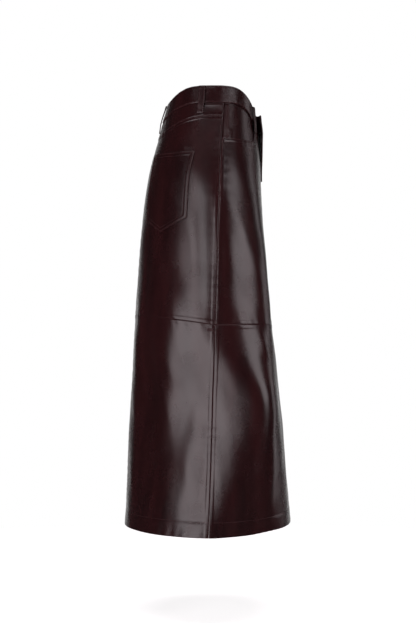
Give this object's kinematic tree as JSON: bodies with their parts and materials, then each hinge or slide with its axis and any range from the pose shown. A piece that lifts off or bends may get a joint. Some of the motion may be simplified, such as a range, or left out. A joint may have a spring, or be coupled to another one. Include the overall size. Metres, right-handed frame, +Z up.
{
  "type": "leather skirt",
  "caption": "A-line midi skirt of glossy dark burgundy leather with waistband, belt loops, pockets and a knee seam, filled out and open at waist and hem",
  "frame": {"origin": "centre of the waist opening, level with the side of the waist seam", "axes": "+Z up, along the skirt's length; the wearer faces -Y; the wearer's right is -X"},
  "size_m": [0.4988, 0.33, 0.8648],
  "materials": {
    "leather": "glossy smooth burgundy-brown leather, tonal stitching",
    "button_metal": "dark plated metal"
  },
  "bodies": {
    "root": {"waistband": "leather", "back_yoke_right": "leather", "back_upper_right": "leather", "back_lower_right": "leather", "front_upper_right": "leather", "front_lower_right": "leather", "front_pocket_facing_right": "leather", "back_pocket_right": "leather", "back_yoke_left": "leather", "back_upper_left": "leather", "back_lower_left": "leather", "front_upper_left": "leather", "front_lower_left": "leather", "front_pocket_facing_left": "leather", "back_pocket_left": "leather", "fly_front": "leather", "belt_loop_front_right": "leather", "belt_loop_side_right": "leather", "belt_loop_back": "leather", "belt_loop_side_left": "leather", "belt_loop_front_left": "leather", "waist_button": "button_metal"}
  },
  "joints": []
}
